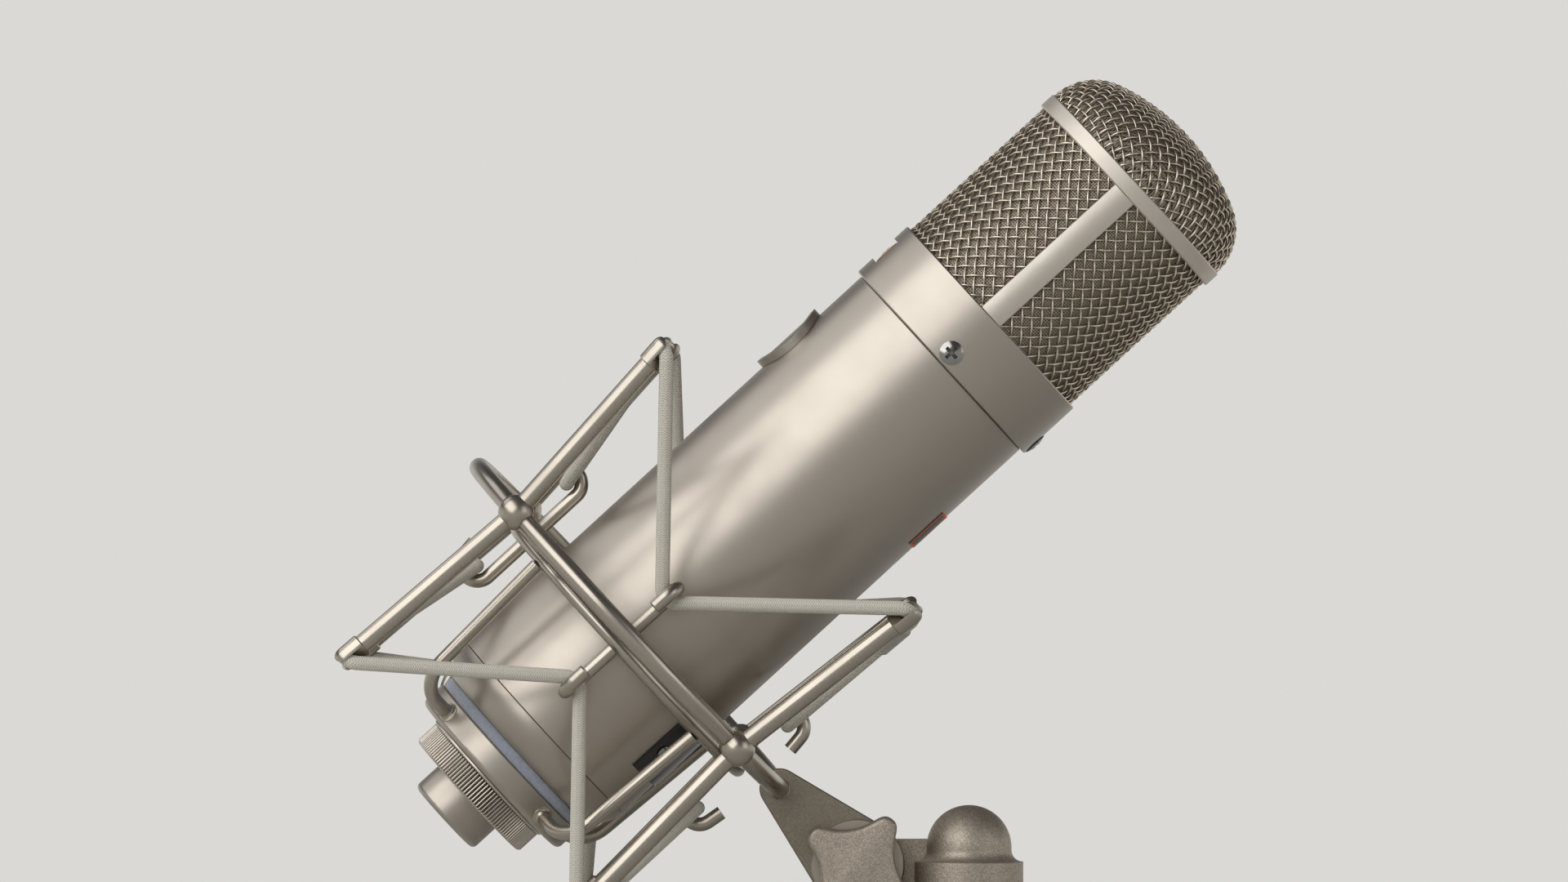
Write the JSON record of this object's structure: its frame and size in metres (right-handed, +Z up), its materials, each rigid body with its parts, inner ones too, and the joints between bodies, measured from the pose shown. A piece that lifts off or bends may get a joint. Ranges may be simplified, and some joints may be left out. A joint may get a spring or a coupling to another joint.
{
  "type": "condenser microphone",
  "caption": "Side-address condenser microphone with a woven wire head, held by elastic cords in a wire shock mount on a swivel stand adapter.",
  "frame": {"origin": "centre of the stand thread's mouth, at the bottom face of the stand adapter", "axes": "+Z up along the stand thread, -X towards the microphone's foot, +X the way its head leans, +Y away from the clamp knob"},
  "size_m": [0.2294, 0.1176, 0.2261],
  "materials": {
    "satin_nickel": "satin nickel plate",
    "bright_nickel": "satin nickel plated wire",
    "cast_nickel": "fine sparkling silver-grey finish",
    "mesh": "woven nickel plated wire",
    "steel": "plain",
    "aluminium": "plain",
    "brass": "plain",
    "black_plate": "black lacquer",
    "black_plastic": "matt",
    "orange": "lacquered",
    "board": "laminate",
    "capacitor": "dipped",
    "transformer": "laminated",
    "film": "gold-sputtered film",
    "felt": "pressed felt",
    "cord": "woven elastic cord",
    "clear_sleeve": "clear shrink sleeve"
  },
  "bodies": {
    "stand_adapter": {"stand_adapter": "cast_nickel", "pivot_bolt": "steel", "friction_washer": "black_plastic"},
    "clamp_disc": {"clamp_disc": "satin_nickel"},
    "clamp_knob": {"clamp_knob": "cast_nickel"},
    "suspension_frame": {"outer_ring": "bright_nickel", "joint_balls": "bright_nickel", "upper_arm_1": "bright_nickel", "upper_arm_2": "bright_nickel", "upper_arm_3": "bright_nickel", "upper_arm_4": "bright_nickel", "lower_arm_1": "bright_nickel", "lower_arm_2": "bright_nickel", "lower_arm_3": "bright_nickel", "lower_arm_4": "bright_nickel", "upper_arm_caps": "bright_nickel", "lower_arm_caps": "bright_nickel", "bracket_plate": "cast_nickel", "elastic_upper": "cord", "elastic_lower": "cord", "elastic_sleeves": "clear_sleeve"},
    "cradle": {"cradle_ring": "bright_nickel", "hook_rods": "bright_nickel", "cage_wires": "bright_nickel", "cradle_cup": "satin_nickel", "felt_ring": "felt"},
    "microphone": {"grille_side": "mesh", "grille_dome": "mesh", "fine_mesh_liner": "mesh", "head_band": "satin_nickel", "head_strut_near": "satin_nickel", "head_strut_far": "satin_nickel", "head_collar": "satin_nickel", "collar_screws": "satin_nickel", "head_deck": "black_plastic", "capsule_backplate": "brass", "capsule_diaphragms": "film", "capsule_rings": "brass", "capsule_saddle": "black_plastic", "selector_switch": "black_plastic", "body_tube": "satin_nickel", "badge_plate": "satin_nickel", "rear_inlay": "orange", "serial_plate": "black_plate", "serial_plate_screws": "satin_nickel", "base_bell": "satin_nickel", "chassis_rails": "steel", "chassis_top_plate": "aluminium", "chassis_bottom_plate": "aluminium", "circuit_board": "board", "output_transformer": "transformer", "capacitors": "capacitor", "transistor_cans": "steel", "connector_shell": "satin_nickel", "connector_insert": "black_plastic", "connector_pins": "brass"},
    "selector": {"selector_disc": "orange"},
    "lock_washer": {"lock_washer": "black_plate"},
    "lock_nut": {"lock_nut": "satin_nickel"}
  },
  "joints": [
    {"name": "swivel_tilt", "type": "hinge", "parent": "stand_adapter", "child": "suspension_frame", "pos_m": [-0.0285, 0, 0.025], "axis": [0, 1, 0], "range_deg": [-45, 75]},
    {"name": "clamp_travel", "type": "slide", "parent": "stand_adapter", "child": "clamp_disc", "axis": [0, -1, 0], "range_m": [0, 0.0011]},
    {"name": "knob_turn", "type": "hinge", "parent": "clamp_disc", "child": "clamp_knob", "pos_m": [-0.0285, 0, 0.025], "axis": [0, -1, 0], "range_deg": [0, 400]},
    {"name": "cradle_float", "type": "slide", "parent": "suspension_frame", "child": "cradle", "axis": [0, 0, 1], "range_m": [-0.005, 0.005], "stiffness_N_per_m": 2120, "springref_m": 0.0055, "deforming": ["elastic_upper", "elastic_lower"]},
    {"name": "mic_turn", "type": "hinge", "parent": "cradle", "child": "microphone", "pos_m": [-0.08736, 0, 0.08027], "axis": [0.7373, 0, 0.6756], "continuous": true},
    {"name": "selector_turn", "type": "hinge", "parent": "microphone", "child": "selector", "pos_m": [-0.02193, 0, 0.18294], "axis": [-0.6756, 0, 0.7373], "range_deg": [-45, 45]},
    {"name": "nut_travel", "type": "slide", "parent": "microphone", "child": "lock_washer", "axis": [-0.7373, 0, -0.6756], "range_m": [0, 0.006]},
    {"name": "nut_turn", "type": "hinge", "parent": "lock_washer", "child": "lock_nut", "pos_m": [-0.08736, 0, 0.08027], "axis": [-0.7373, 0, -0.6756], "range_deg": [0, 2165]}
  ],
  "couplings": [
    {"joint": "knob_turn", "follows": "clamp_travel", "rad_per_m": 6283.2},
    {"joint": "nut_turn", "follows": "nut_travel", "rad_per_m": 6283.2}
  ]
}
